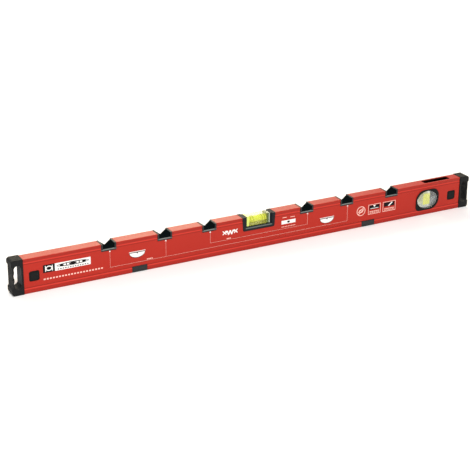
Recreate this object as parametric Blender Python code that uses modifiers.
"""Box-section spirit level with marking notches along its top edge.

The rail is a red aluminium tube. It carries six notch inserts, a level vial in
the middle of the top edge, a plumb vial near the right end that can also be
read through a slot in the top edge, two base inserts, and at each end a rubber
cap on a plug that two sprung latches hold in the rail.

Metres, +Z up. +X runs along the level to its plumb vial, -Y is the face with
the marking print, and the origin is in the middle of the base.
"""
import math

import bmesh
import bpy
from mathutils import Matrix, Vector

# Whole level
LENGTH = 0.700
CAP_LENGTH = 0.016
RAIL_HEIGHT = 0.047
RAIL_DEPTH = 0.017
GAP = 0.0003
OVERLAP = 0.0005
OVERRUN = 0.002

# Rail section
WEB_DEPTH = 0.016
WAIST_DEPTH = 0.0150
WALL = 0.0015
FLANGE = 0.0023
CAVITY_CORNER = 0.0010
EDGE = 0.0006
BASE_LEDGE_LOW = 0.0058
BASE_LEDGE_HIGH = 0.0072
TOP_LEDGE_LOW = 0.0408
TOP_LEDGE_HIGH = 0.0422

# Notch inserts, by the distance of their centres from the middle
NOTCHES = {
    "notch_insert_1": -0.219,
    "notch_insert_2": -0.140,
    "notch_insert_3": -0.075,
    "notch_insert_4": 0.075,
    "notch_insert_5": 0.140,
    "notch_insert_6": 0.2148,
}
NOTCH_WIDTH = 0.0206
NOTCH_BOTTOM = 0.0374
NOTCH_RIM = 0.0021
NOTCH_LIP = 0.0393
NOTCH_RECESS = 0.0018
VEE_BOTTOM = 0.0409
VEE_FLAT = 0.0010
TONGUE_WIDTH = 0.016
TONGUE_LENGTH = 0.0032

# Base inserts
BASE_INSERTS = {"base_insert_left": -0.1765, "base_insert_right": 0.1765}
BASE_INSERT_WIDTH = 0.021
BASE_INSERT_LOW = 0.0004
BASE_INSERT_HIGH = 0.0080

# Level vial and its frame
VIAL_FRAME_TOP_WIDTH = 0.0506
VIAL_FRAME_BASE_WIDTH = 0.0480
VIAL_FRAME_BOTTOM = 0.0274
VIAL_FRAME_CORNER = 0.0022
VIAL_RECESS_WIDTH = 0.0406
VIAL_RECESS_BOTTOM = 0.0310
VIAL_RECESS = 0.0019
VIAL_POCKET_WIDTH = 0.0360
VIAL_POCKET_BOTTOM = 0.0327
LEVEL_BLOCK = (0.0354, 0.0126, 0.0138)
LEVEL_BORE = 0.0052
LEVEL_BUBBLE = (0.0062, 0.0026, 0.0015)
LEVEL_BUBBLE_LIFT = 0.0024
LEVEL_TRAVEL = 0.0075
LEVEL_RINGS = (-0.0069, 0.0069, -0.0106, 0.0106)

# Plumb vial, its bezels, housing and mirror
PLUMB_X = 0.2775
PLUMB_Z = 0.0224
BEZEL_WIDTH = 0.0400
BEZEL_HEIGHT = 0.0308
BEZEL_TIP = 0.0070
BEZEL_SHOULDER = 0.0110
BEZEL_SWEEP = 0.0150
BEZEL_OVERLAP = 0.0010
BEZEL_FACE = 0.0089
COLLAR_INNER = 0.0050
SIGHT = (0.0164, 0.0125)
GLASS_MARGIN = 0.0005
LENS_THICKNESS = 0.0008
LENS_INSET = 0.0003
PLUMB_BLOCK = (0.0124, 0.0116, 0.0228)
PLUMB_BLOCK_SHIFT = 0.0005
PLUMB_BORE = 0.0046
PLUMB_BUBBLE = (0.0024, 0.0024, 0.0027)
PLUMB_TRAVEL = 0.0108
PLUMB_RINGS = (-0.0035, 0.0035)
HOUSING_HALF_DEPTH = 0.0047
HOUSING_BOX = (0.2593, 0.0060, 0.3106, 0.0425)
HOUSING_CORNER = 0.002
HOUSING_PAD_INSET = 0.0008
VIEW_HALF_HEIGHT = 0.0115
VIEW_TOP_INSET = 0.004
MIRROR_FOOT = (0.2852, 0.0110)
MIRROR_RISE = 0.0236
MIRROR_THICKNESS = 0.0010
MIRROR_WIDTH = 0.0078
SLOT_ENDS = (0.2740, 0.3186)
SLOT_WIDTH = 0.0108
SLOT_CORNER = 0.00225

# Vial details that both vials share
VIAL_PLUG = 0.0026
VIAL_BLIND_WALL = 0.0027
RING_WIDTH = 0.0005
RING_WALL = 0.0004
RING_CLEARANCE = 0.0007
TRACK_CLEARANCE = 0.0001

# End caps, plugs and latches
CAP_PROUD = 0.0004
CAP_LOBE_CORNER = 0.0038
CAP_WAIST = 0.0014
CAP_WAIST_LOW = 0.0105
CAP_WAIST_HIGH = 0.0385
CAP_WAIST_BLEND = 0.0022
CAP_EDGE = 0.0009
HANGING_HOLE = (0.0029, 0.0082, 0.0126, 0.0400)
HOLE_WAVE = 0.0005
SOCKET_DEPTH = 0.0017
SOCKET_HALF_DEPTH = 0.0053
SOCKET_Z = (0.0047, 0.0413)
PLUG_LENGTH = 0.0228
LATCH_X = 0.320
LATCH_Z = 0.0221
LATCH_WINDOW = (0.0139, 0.0140)
LATCH_CORNER = 0.0027
LATCH_PAD = (0.0095, 0.0100)
LATCH_ARM = 0.0010
LATCH_ARM_HEIGHT = 0.0100
LATCH_PIVOT_INSET = 0.0008
LATCH_BASE_Y = 0.0074
LATCH_PAD_Y = 0.0081
LATCH_WEB = 0.0023
LATCH_ARM_INSET = 0.0001
LATCH_PAD_SINK = 0.0003
POCKET_CLEARANCE = 0.0008
POCKET_END = 0.0001

RAIL_HALF = LENGTH / 2 - CAP_LENGTH
HALF_DEPTH = RAIL_DEPTH / 2
CAVITY_HALF_DEPTH = WEB_DEPTH / 2 - WALL
CAVITY_LOW = FLANGE
CAVITY_HIGH = RAIL_HEIGHT - FLANGE
INSERT_DEPTH = 0.0168
TONGUE_DEPTH = 2 * (CAVITY_HALF_DEPTH - GAP)
CUT_DEPTH = 0.040
THIN_CUT = 0.004

# How a flat outline's own x, y and thickness lie in the model
PLANES = {
    "XY": Matrix.Identity(4),
    "XZ": Matrix(((1, 0, 0), (0, 0, -1), (0, 1, 0))).to_4x4(),
    "YZ": Matrix(((0, 0, 1), (1, 0, 0), (0, 1, 0))).to_4x4(),
}

FINISHES = {
    # name: (colour, roughness, metallic, alpha)
    "red_paint": ((0.56, 0.035, 0.02), 0.38, 0.0, 1.0),
    "rubber": ((0.012, 0.013, 0.013), 0.75, 0.0, 1.0),
    "black_plastic": ((0.014, 0.018, 0.018), 0.5, 0.0, 1.0),
    "clear_acrylic": ((0.9, 0.95, 0.9), 0.05, 0.0, 0.3),
    "vial_fluid": ((0.75, 0.85, 0.05), 0.1, 0.0, 0.8),
    "bubble": ((0.95, 1.0, 0.8), 0.05, 0.0, 0.5),
    "mirror": ((0.9, 0.9, 0.9), 0.05, 1.0, 1.0),
}


def clear_scene():
    for obj in list(bpy.data.objects):
        bpy.data.objects.remove(obj, do_unlink=True)


def new_collection(name):
    group = bpy.data.collections.new(name)
    bpy.context.scene.collection.children.link(group)
    return group


def make_materials():
    made = {}
    for name, (colour, roughness, metallic, alpha) in FINISHES.items():
        material = bpy.data.materials.new(name)
        material.use_nodes = True
        shader = material.node_tree.nodes["Principled BSDF"]
        shader.inputs["Base Color"].default_value = (*colour, 1.0)
        shader.inputs["Roughness"].default_value = roughness
        shader.inputs["Metallic"].default_value = metallic
        shader.inputs["Alpha"].default_value = alpha
        material.diffuse_color = (*colour, alpha)
        made[name] = material
    return made


def place(mesh, name, finish):
    """Give a mesh an object of its own among the parts, or among the cutters."""
    obj = bpy.data.objects.new(name, mesh)
    if finish is None:
        obj.hide_render = True
        obj.display_type = "WIRE"
        CUTTERS.objects.link(obj)
    else:
        mesh.materials.clear()
        mesh.materials.append(MATERIALS[finish])
        PARTS.objects.link(obj)
    return obj


def rounded_rect(x0, y0, x1, y1, radii, steps=6):
    """Corners run lower left, lower right, upper right, upper left."""
    corners = ((x0, y0, 1, 1), (x1, y0, -1, 1), (x1, y1, -1, -1), (x0, y1, 1, -1))
    points = []
    for index, ((x, y, sx, sy), radius) in enumerate(zip(corners, radii)):
        if radius == 0:
            points.append((x, y))
            continue
        start = math.pi + index * math.pi / 2
        for step in range(steps + 1):
            angle = start + step * math.pi / 2 / steps
            points.append((x + sx * radius + radius * math.cos(angle),
                           y + sy * radius + radius * math.sin(angle)))
    return points


def slab(name, loops, thickness, plane, centre=(0, 0, 0), finish=None):
    """A flat outline, with any holes in it, given a thickness about its own plane."""
    curve = bpy.data.curves.new(name, "CURVE")
    curve.dimensions = "2D"
    curve.fill_mode = "BOTH"
    curve.extrude = thickness / 2
    for loop in loops:
        spline = curve.splines.new("POLY")
        spline.points.add(len(loop) - 1)
        for point, (x, y) in zip(spline.points, loop):
            point.co = (x, y, 0, 1)
        spline.use_cyclic_u = True
    guide = bpy.data.objects.new(name + "_outline", curve)
    bpy.context.scene.collection.objects.link(guide)
    graph = bpy.context.evaluated_depsgraph_get()
    mesh = bpy.data.meshes.new_from_object(guide.evaluated_get(graph))
    bpy.data.objects.remove(guide, do_unlink=True)
    mesh.transform(Matrix.Translation(centre) @ PLANES[plane])
    weld = bmesh.new()
    weld.from_mesh(mesh)
    bmesh.ops.remove_doubles(weld, verts=weld.verts, dist=1e-7)
    bmesh.ops.recalc_face_normals(weld, faces=weld.faces)
    weld.to_mesh(mesh)
    weld.free()
    mesh.name = name
    return place(mesh, name, finish)


def box(name, low, high, finish=None):
    mesh = bpy.data.meshes.new(name)
    build = bmesh.new()
    bmesh.ops.create_cube(build, size=1.0)
    low = Vector(low)
    high = Vector(high)
    size = high - low
    scale = Matrix.Diagonal((size.x, size.y, size.z, 1))
    bmesh.ops.transform(build, verts=build.verts, matrix=Matrix.Translation((low + high) / 2) @ scale)
    build.to_mesh(mesh)
    build.free()
    return place(mesh, name, finish)


def cylinder(name, radius, length, axis, centre, finish=None, sides=32):
    """A round bar about the X, Y or Z axis."""
    turns = {"X": Matrix.Rotation(math.pi / 2, 4, "Y"), "Y": Matrix.Rotation(math.pi / 2, 4, "X"),
             "Z": Matrix.Identity(4)}
    mesh = bpy.data.meshes.new(name)
    build = bmesh.new()
    bmesh.ops.create_cone(build, cap_ends=True, segments=sides, radius1=radius, radius2=radius,
                          depth=length, matrix=Matrix.Translation(centre) @ turns[axis])
    build.to_mesh(mesh)
    build.free()
    mesh.shade_smooth()
    mesh.set_sharp_from_angle(angle=math.radians(40))
    return place(mesh, name, finish)


def ellipsoid(name, radii, centre, finish=None):
    mesh = bpy.data.meshes.new(name)
    build = bmesh.new()
    bmesh.ops.create_uvsphere(build, u_segments=20, v_segments=12, radius=1.0)
    bmesh.ops.transform(build, verts=build.verts,
                        matrix=Matrix.Translation(centre) @ Matrix.Diagonal((*radii, 1)))
    build.to_mesh(mesh)
    build.free()
    mesh.shade_smooth()
    return place(mesh, name, finish)


def combine(target, other, operation="DIFFERENCE"):
    modifier = target.modifiers.new(other.name, "BOOLEAN")
    modifier.operation = operation
    modifier.object = other
    modifier.solver = "EXACT"


def soften(target, width, segments=2):
    modifier = target.modifiers.new("softened edges", "BEVEL")
    modifier.width = width
    modifier.segments = segments
    modifier.limit_method = "ANGLE"
    modifier.angle_limit = math.radians(40)


def move_origin(obj, point):
    """Put the origin on the axis that the piece moves about or along."""
    obj.data.transform(Matrix.Translation(-Vector(point)))
    obj.location = point


def rail_section():
    """Outer outline of the tube: one side upwards, then the other side down."""
    half = HALF_DEPTH
    side = [(half - EDGE, 0), (half, EDGE), (half, BASE_LEDGE_LOW), (WEB_DEPTH / 2, BASE_LEDGE_HIGH),
            (WEB_DEPTH / 2, TOP_LEDGE_LOW), (WAIST_DEPTH / 2, TOP_LEDGE_HIGH),
            (half, RAIL_HEIGHT - EDGE), (half - EDGE, RAIL_HEIGHT)]
    return side + [(-y, z) for y, z in reversed(side)]


def leaf(inset, corner_steps=8, side_steps=8):
    """Outline of the plumb bezel: swept round, with a tip low on its left and a shoulder opposite."""
    half_width = BEZEL_WIDTH / 2 - inset
    half_height = BEZEL_HEIGHT / 2 - inset
    tip = BEZEL_TIP - inset / 2
    sweep = BEZEL_SWEEP - inset
    shoulder = BEZEL_SHOULDER - inset
    corners = rounded_rect(PLUMB_X - half_width, PLUMB_Z - half_height, PLUMB_X + half_width,
                           PLUMB_Z + half_height, (tip, sweep, shoulder, sweep), steps=corner_steps)
    points = []
    for index, (x, z) in enumerate(corners):
        points.append((x, z))
        if index % (corner_steps + 1) == corner_steps:
            next_x, next_z = corners[(index + 1) % len(corners)]
            for step in range(1, side_steps):
                share = step / side_steps
                points.append((x + (next_x - x) * share, z + (next_z - z) * share))
    return points


def vial_frame_outline(grow):
    """The frame tapers downwards and stands open at the rail's top edge."""
    top = VIAL_FRAME_TOP_WIDTH / 2 + grow
    base = VIAL_FRAME_BASE_WIDTH / 2 + grow
    low = VIAL_FRAME_BOTTOM - grow
    high = RAIL_HEIGHT + (OVERRUN if grow else 0)
    floor = rounded_rect(-base, low, base, high, (VIAL_FRAME_CORNER, VIAL_FRAME_CORNER, 0, 0))
    return [point for point in floor if point[1] < high] + [(top, high), (-top, high)]


def make_rail():
    outer = rail_section()
    cavity = rounded_rect(-CAVITY_HALF_DEPTH, CAVITY_LOW, CAVITY_HALF_DEPTH, CAVITY_HIGH, (CAVITY_CORNER,) * 4,
                          steps=3)
    rail = slab("rail", [outer, cavity], 2 * RAIL_HALF, "YZ", finish="red_paint")
    for name, x in NOTCHES.items():
        half = NOTCH_WIDTH / 2 + GAP
        combine(rail, box(name + "_cutter", (x - half, -CUT_DEPTH / 2, NOTCH_BOTTOM - GAP),
                          (x + half, CUT_DEPTH / 2, RAIL_HEIGHT + OVERRUN)))
    for name, x in BASE_INSERTS.items():
        half = BASE_INSERT_WIDTH / 2 + GAP
        combine(rail, box(name + "_cutter", (x - half, -CUT_DEPTH / 2, -OVERRUN),
                          (x + half, CUT_DEPTH / 2, BASE_INSERT_HIGH + GAP)))
    combine(rail, slab("level_vial_cutter", [vial_frame_outline(GAP)], CUT_DEPTH, "XZ"))
    combine(rail, slab("plumb_vial_cutter", [leaf(BEZEL_OVERLAP)], CUT_DEPTH, "XZ"))
    half = SLOT_WIDTH / 2
    slot = rounded_rect(SLOT_ENDS[0], -half, SLOT_ENDS[1], half, (SLOT_CORNER,) * 4)
    combine(rail, slab("sight_slot_cutter", [slot], 2 * THIN_CUT, "XY", centre=(0, 0, RAIL_HEIGHT)))
    for side in (-1, 1):
        combine(rail, slab(f"latch_window_cutter_{side}", [latch_outline(side, 0)], CUT_DEPTH, "XZ"))


def latch_outline(side, inset):
    half_width = LATCH_WINDOW[0] / 2 - inset
    half_height = LATCH_WINDOW[1] / 2 - inset
    middle = side * LATCH_X
    return rounded_rect(middle - half_width, LATCH_Z - half_height, middle + half_width,
                        LATCH_Z + half_height, (LATCH_CORNER,) * 4, steps=4)


def make_notch_insert(name, x):
    """A saddle with a marking vee through it, standing back from a rim on both faces."""
    half = NOTCH_WIDTH / 2
    block = box(name, (x - half, -INSERT_DEPTH / 2, NOTCH_BOTTOM), (x + half, INSERT_DEPTH / 2, RAIL_HEIGHT),
                finish="black_plastic")
    opening = half - NOTCH_RIM
    above = RAIL_HEIGHT + OVERRUN
    for side in (-1, 1):
        outer = side * CUT_DEPTH / 2
        inner = side * (INSERT_DEPTH / 2 - NOTCH_RECESS)
        combine(block, box(f"{name}_recess_{side}", (x - opening, min(outer, inner), NOTCH_LIP),
                           (x + opening, max(outer, inner), above)))
    slope = (opening - VEE_FLAT / 2) / (RAIL_HEIGHT - VEE_BOTTOM)
    spread = opening + slope * (above - RAIL_HEIGHT)
    vee = [(x - VEE_FLAT / 2, VEE_BOTTOM), (x + VEE_FLAT / 2, VEE_BOTTOM), (x + spread, above), (x - spread, above)]
    combine(block, slab(name + "_vee", [vee], CUT_DEPTH, "XZ"))
    tongue = box(name + "_tongue", (x - TONGUE_WIDTH / 2, -TONGUE_DEPTH / 2, NOTCH_BOTTOM - TONGUE_LENGTH),
                 (x + TONGUE_WIDTH / 2, TONGUE_DEPTH / 2, NOTCH_BOTTOM + OVERLAP))
    combine(block, tongue, "UNION")


def make_base_insert(name, x):
    half = BASE_INSERT_WIDTH / 2
    block = box(name, (x - half, -INSERT_DEPTH / 2, BASE_INSERT_LOW),
                (x + half, INSERT_DEPTH / 2, BASE_INSERT_HIGH), finish="black_plastic")
    tongue = box(name + "_tongue", (x - TONGUE_WIDTH / 2, -TONGUE_DEPTH / 2, BASE_INSERT_HIGH - OVERLAP),
                 (x + TONGUE_WIDTH / 2, TONGUE_DEPTH / 2, BASE_INSERT_HIGH + TONGUE_LENGTH))
    combine(block, tongue, "UNION")


def make_vial_frame():
    frame = slab("level_vial_frame", [vial_frame_outline(0)], INSERT_DEPTH, "XZ", finish="black_plastic")
    above = RAIL_HEIGHT + OVERRUN
    half = VIAL_RECESS_WIDTH / 2
    for side in (-1, 1):
        outer = side * CUT_DEPTH / 2
        inner = side * (INSERT_DEPTH / 2 - VIAL_RECESS)
        combine(frame, box(f"vial_frame_recess_{side}", (-half, min(outer, inner), VIAL_RECESS_BOTTOM),
                           (half, max(outer, inner), above)))
    half = VIAL_POCKET_WIDTH / 2
    combine(frame, box("vial_frame_pocket", (-half, -CUT_DEPTH / 2, VIAL_POCKET_BOTTOM),
                       (half, CUT_DEPTH / 2, above)))


def make_vial(prefix, axis, centre, block, bore, bubble, lift, travel, rest, rings):
    """A clear block with a blind bore, the plug that closes it, the fluid, its rings and the bubble.

    lift is how far the bubble's track lies above the bore's axis, rest is where the
    bubble stands, travel is how far it can go either way, and rings are the places
    of the marking rings along the axis.
    """
    index = "XYZ".index(axis)
    along = Vector([1.0 if place_index == index else 0.0 for place_index in range(3)])
    middle = Vector(centre)
    size = Vector(block)
    length = size[index]
    body = box(prefix + "_body", middle - size / 2, middle + size / 2, finish="clear_acrylic")
    bore_length = length - VIAL_BLIND_WALL
    start = middle - along * (length / 2)
    combine(body, cylinder(prefix + "_bore", bore, bore_length + OVERRUN, axis,
                           start + along * (bore_length - OVERRUN) / 2))
    plug_centre = start + along * (GAP + VIAL_PLUG / 2)
    cylinder(prefix + "_plug", bore - GAP, VIAL_PLUG, axis, plug_centre, finish="clear_acrylic")
    fluid_start = VIAL_PLUG + 2 * GAP
    fluid_length = bore_length - fluid_start - GAP
    fluid_centre = start + along * (fluid_start + fluid_length / 2)
    fluid_radius = bore - RING_CLEARANCE - RING_WALL
    fluid = cylinder(prefix + "_fluid", fluid_radius, fluid_length, axis, fluid_centre, finish="vial_fluid")
    track_radius = max(bubble[(index + 1) % 3], bubble[(index + 2) % 3]) + GAP + TRACK_CLEARANCE
    track_length = 2 * (bubble[index] + GAP) + abs(travel[1] - travel[0])
    track_middle = rest + along * (travel[0] + travel[1]) / 2
    combine(fluid, cylinder(prefix + "_track", track_radius, track_length, axis, track_middle, sides=24))
    if lift:
        slot_high = Vector((track_length / 2, track_radius, bore))
        slot_low = Vector((-track_length / 2, -track_radius, 0))
        combine(fluid, box(prefix + "_track_mouth", track_middle + slot_low, track_middle + slot_high))
    else:
        mouth = track_middle + along * (track_length / 2)
        combine(fluid, cylinder(prefix + "_track_mouth", track_radius, THIN_CUT, axis, mouth, sides=24))
    ring_outer = bore - GAP
    for letter, distance in zip("abcd", rings):
        name = f"{prefix}_ring_{letter}"
        ring_centre = middle + along * distance
        ring = cylinder(name, ring_outer, RING_WIDTH, axis, ring_centre, finish="black_plastic")
        combine(ring, cylinder(name + "_hole", ring_outer - RING_WALL, THIN_CUT, axis, ring_centre))
    air = ellipsoid(prefix + "_bubble", bubble, rest, finish="bubble")
    move_origin(air, rest)


def make_level_vial():
    middle = Vector((0, 0, VIAL_POCKET_BOTTOM + GAP + LEVEL_BLOCK[2] / 2))
    make_vial("level_vial", "X", middle, LEVEL_BLOCK, LEVEL_BORE, LEVEL_BUBBLE, LEVEL_BUBBLE_LIFT,
              (-LEVEL_TRAVEL, LEVEL_TRAVEL), middle + Vector((0, 0, LEVEL_BUBBLE_LIFT)), LEVEL_RINGS)


def make_plumb_vial():
    middle = Vector((PLUMB_X + PLUMB_BLOCK_SHIFT, 0, PLUMB_Z))
    top = PLUMB_BLOCK[2] / 2 - VIAL_BLIND_WALL - 2 * GAP - PLUMB_BUBBLE[2]
    make_vial("plumb_vial", "Z", middle, PLUMB_BLOCK, PLUMB_BORE, PLUMB_BUBBLE, 0,
              (-PLUMB_TRAVEL, 0), middle + Vector((0, 0, top)), PLUMB_RINGS)


def sight_oval(grow):
    """The oval that the vial is seen through, with its points in line with those of the leaf outline."""
    half_width = SIGHT[0] + grow
    half_height = SIGHT[1] + grow
    points = []
    for x, z in leaf(0):
        angle = math.atan2((z - PLUMB_Z) / half_height, (x - PLUMB_X) / half_width)
        points.append((PLUMB_X + half_width * math.cos(angle), PLUMB_Z + half_height * math.sin(angle)))
    return points


def lofted_ring(name, sections, finish):
    """A closed ring through sections of equal point count, each an outline at its own depth."""
    mesh = bpy.data.meshes.new(name)
    build = bmesh.new()
    loops = [[build.verts.new((x, y, z)) for x, z in outline] for outline, y in sections]
    count = len(loops[0])
    for index, loop in enumerate(loops):
        following = loops[(index + 1) % len(loops)]
        for step in range(count):
            after = (step + 1) % count
            build.faces.new((loop[step], loop[after], following[after], following[step]))
    bmesh.ops.recalc_face_normals(build, faces=build.faces)
    build.to_mesh(mesh)
    build.free()
    mesh.shade_smooth()
    mesh.set_sharp_from_angle(angle=math.radians(40))
    return place(mesh, name, finish)


def make_plumb_bezel(name, side):
    """A leaf-shaped rim outside the rail, and a collar through its wall with a seat for the lens."""
    rim_inner = side * (WEB_DEPTH / 2 + GAP)
    face = side * BEZEL_FACE
    seat = side * (BEZEL_FACE - LENS_INSET - LENS_THICKNESS - GAP)
    inner = side * COLLAR_INNER
    collar = leaf(BEZEL_OVERLAP + GAP)
    wide = sight_oval(GLASS_MARGIN + GAP)
    narrow = sight_oval(0)
    lofted_ring(name, [(leaf(0), face), (leaf(0), rim_inner), (collar, rim_inner), (collar, inner),
                       (narrow, inner), (narrow, seat), (wide, seat), (wide, face)], "black_plastic")


def make_plumb_lens(name, side):
    middle = side * (BEZEL_FACE - LENS_INSET - LENS_THICKNESS / 2)
    slab(name, [sight_oval(GLASS_MARGIN)], LENS_THICKNESS, "XZ", (0, middle, 0), finish="clear_acrylic")


def make_plumb_housing():
    """The block inside the rail that grips the vial and carries the mirror at 45 degrees."""
    depth = 2 * HOUSING_HALF_DEPTH
    housing = slab("plumb_housing", [rounded_rect(*HOUSING_BOX, (HOUSING_CORNER,) * 4, steps=3)], depth, "XZ",
                   finish="black_plastic")
    combine(housing, slab("housing_sight", [sight_oval(0)], CUT_DEPTH, "XZ"))
    foot_x, foot_z = MIRROR_FOOT
    back = MIRROR_THICKNESS * math.sqrt(2) + GAP * math.sqrt(2)
    inner = PLUMB_X + PLUMB_BLOCK_SHIFT + PLUMB_BLOCK[0] / 2 - 2 * OVERLAP
    above = CAVITY_HIGH + OVERRUN
    mouth = foot_x + MIRROR_RISE + 2 * OVERLAP
    top_inner = foot_x + VIEW_TOP_INSET
    shoulder = PLUMB_Z + VIEW_HALF_HEIGHT
    view = [(inner, foot_z), (foot_x + back, foot_z), (mouth, foot_z + mouth - foot_x - back), (mouth, above),
            (top_inner, above), (top_inner, shoulder), (inner, shoulder)]
    combine(housing, slab("housing_view", [view], CUT_DEPTH, "XZ"))
    half_width = PLUMB_BLOCK[0] / 2 - HOUSING_PAD_INSET
    middle = PLUMB_X + PLUMB_BLOCK_SHIFT
    for sign in (-1, 1):
        near = PLUMB_Z + sign * (PLUMB_BLOCK[2] / 2 + GAP)
        far = PLUMB_Z + sign * (SIGHT[1] + HOUSING_PAD_INSET)
        pad = box(f"housing_pad_{sign}", (middle - half_width, -HOUSING_HALF_DEPTH, min(near, far)),
                  (middle + half_width, HOUSING_HALF_DEPTH, max(near, far)))
        combine(housing, pad, "UNION")


def make_plumb_mirror():
    foot_x, foot_z = MIRROR_FOOT
    back = MIRROR_THICKNESS * math.sqrt(2)
    start = foot_z + GAP * 2
    rise = MIRROR_RISE - GAP * 4
    outline = [(foot_x + GAP * 2, start), (foot_x + GAP * 2 + back, start),
               (foot_x + GAP * 2 + rise, start + rise - back), (foot_x + GAP * 2 + rise, start + rise)]
    slab("plumb_mirror", [outline], MIRROR_WIDTH, "XZ", finish="mirror")


def cap_outline():
    """Side view of a right-hand cap: rounded lobes above and below a waisted middle."""
    inner = RAIL_HALF + GAP
    outer = LENGTH / 2
    waist = outer - CAP_WAIST
    top = RAIL_HEIGHT + CAP_PROUD
    radius = CAP_LOBE_CORNER
    points = [(inner, 0)]
    for step in range(7):
        angle = -math.pi / 2 + step * math.pi / 12
        points.append((outer - radius + radius * math.cos(angle), radius + radius * math.sin(angle)))
    third = 0.3
    shoulder = outer - CAP_WAIST * third
    points += [(outer, CAP_WAIST_LOW - CAP_WAIST_BLEND), (shoulder, CAP_WAIST_LOW - CAP_WAIST_BLEND * third),
               (waist, CAP_WAIST_LOW), (waist, CAP_WAIST_HIGH),
               (shoulder, CAP_WAIST_HIGH + CAP_WAIST_BLEND * third), (outer, CAP_WAIST_HIGH + CAP_WAIST_BLEND)]
    for step in range(7):
        angle = step * math.pi / 12
        points.append((outer - radius + radius * math.cos(angle), top - radius + radius * math.sin(angle)))
    return points + [(inner, top)]


def hole_outline():
    """The hanging hole: round ends, a straight inner side and a wavy outer side."""
    near, low, far, high = HANGING_HOLE
    base = RAIL_HALF
    radius = (far - near) / 2
    middle = base + (near + far) / 2
    points = []
    for step in range(9):
        angle = math.pi + step * math.pi / 8
        points.append((middle + radius * math.cos(angle), low + radius + radius * math.sin(angle)))
    reach = high - low - 2 * radius
    for step in range(1, 16):
        share = step / 16
        wave = HOLE_WAVE * math.sin(share * 4 * math.pi)
        points.append((base + far + wave, low + radius + reach * share))
    for step in range(9):
        angle = step * math.pi / 8
        points.append((middle + radius * math.cos(angle), high - radius + radius * math.sin(angle)))
    return points


def mirrored(points, side):
    return [(side * x, z) for x, z in points]


def make_end_cap(name, side):
    depth = RAIL_DEPTH + 2 * CAP_PROUD
    cap = slab(name, [mirrored(cap_outline(), side)], depth, "XZ", finish="rubber")
    soften(cap, CAP_EDGE)
    combine(cap, slab(name + "_hole", [mirrored(hole_outline(), side)], CUT_DEPTH, "XZ"))
    near = side * (RAIL_HALF - OVERRUN)
    far = side * (RAIL_HALF + SOCKET_DEPTH)
    combine(cap, box(name + "_socket", (min(near, far), -SOCKET_HALF_DEPTH, SOCKET_Z[0]),
                     (max(near, far), SOCKET_HALF_DEPTH, SOCKET_Z[1])))


def make_end_plug(name, side):
    """The hard core that fills the rail's end, with a pocket on each face for a latch."""
    half = CAVITY_HALF_DEPTH - GAP
    section = rounded_rect(-half, CAVITY_LOW + GAP, half, CAVITY_HIGH - GAP, (CAVITY_CORNER,) * 4, steps=3)
    plug = slab(name, [section], PLUG_LENGTH, "YZ", (side * (RAIL_HALF - PLUG_LENGTH / 2), 0, 0),
                finish="black_plastic")
    near = side * (RAIL_HALF - 2 * OVERLAP)
    far = side * (RAIL_HALF + SOCKET_DEPTH - GAP)
    half = SOCKET_HALF_DEPTH - GAP
    tongue = box(name + "_tongue", (min(near, far), -half, SOCKET_Z[0] + GAP),
                 (max(near, far), half, SOCKET_Z[1] - GAP))
    combine(plug, tongue, "UNION")
    pocket_inner = side * (LATCH_X - LATCH_WINDOW[0] / 2 - POCKET_CLEARANCE)
    pocket_outer = side * (RAIL_HALF + POCKET_END)
    half_height = LATCH_WINDOW[1] / 2 + GAP
    for face in (-1, 1):
        floor = face * LATCH_WEB
        mouth = face * CUT_DEPTH / 2
        pocket = box(f"{name}_pocket_{face}",
                     (min(pocket_inner, pocket_outer), min(floor, mouth), LATCH_Z - half_height),
                     (max(pocket_inner, pocket_outer), max(floor, mouth), LATCH_Z + half_height))
        combine(plug, pocket)


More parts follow.
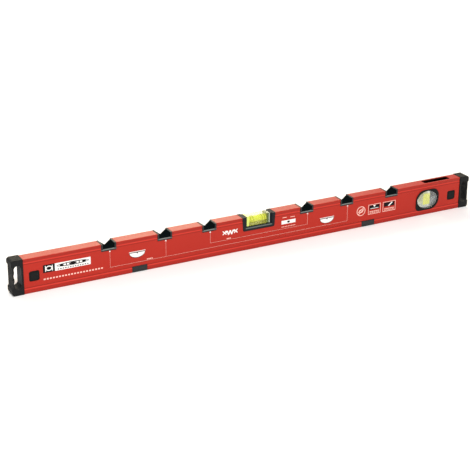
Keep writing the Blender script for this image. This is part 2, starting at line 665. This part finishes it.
def make_latch(name, side, face):
    """An arm along the rail's inner wall, hinged at the rail's end, with a square button on it."""
    arm_outer = CAVITY_HALF_DEPTH - GAP
    arm_inner = arm_outer - LATCH_ARM
    root = RAIL_HALF - LATCH_PIVOT_INSET
    button_middle = face * (arm_inner + LATCH_BASE_Y) / 2
    latch = slab(name, [latch_outline(side, GAP)], LATCH_BASE_Y - arm_inner, "XZ", (0, button_middle, 0),
                 finish="black_plastic")

    def face_box(label, near_x, far_x, near_y, far_y, half_height):
        low = (min(near_x, far_x), min(face * near_y, face * far_y), LATCH_Z - half_height)
        high = (max(near_x, far_x), max(face * near_y, face * far_y), LATCH_Z + half_height)
        return box(label, low, high)

    half_pad = LATCH_PAD[0] / 2
    sunk = LATCH_BASE_Y - LATCH_PAD_SINK
    combine(latch, face_box(name + "_arm", side * LATCH_X, side * root, arm_inner + LATCH_ARM_INSET,
                            arm_outer - LATCH_ARM_INSET, LATCH_ARM_HEIGHT / 2), "UNION")
    combine(latch, face_box(name + "_pad", side * LATCH_X - half_pad, side * LATCH_X + half_pad, sunk,
                            LATCH_PAD_Y, LATCH_PAD[1] / 2), "UNION")
    pivot = (side * root, face * (arm_outer + arm_inner) / 2, LATCH_Z)
    combine(latch, cylinder(name + "_knuckle", LATCH_ARM / 2, LATCH_ARM_HEIGHT, "Z", pivot), "UNION")
    for piece in (latch, *[modifier.object for modifier in latch.modifiers]):
        move_origin(piece, pivot)


clear_scene()
PARTS = new_collection("spirit_level")
CUTTERS = new_collection("cutters")
MATERIALS = make_materials()

make_rail()
for insert_name, insert_x in NOTCHES.items():
    make_notch_insert(insert_name, insert_x)
for insert_name, insert_x in BASE_INSERTS.items():
    make_base_insert(insert_name, insert_x)
make_vial_frame()
make_level_vial()
make_plumb_housing()
make_plumb_mirror()
make_plumb_vial()
for face_name, face_sign in (("front", -1), ("back", 1)):
    make_plumb_bezel("plumb_bezel_" + face_name, face_sign)
    make_plumb_lens("plumb_lens_" + face_name, face_sign)
for end_name, end_sign in (("left", -1), ("right", 1)):
    make_end_cap("end_cap_" + end_name, end_sign)
    make_end_plug("end_plug_" + end_name, end_sign)
    for face_name, face_sign in (("front", -1), ("back", 1)):
        make_latch(f"latch_{end_name}_{face_name}", end_sign, face_sign)
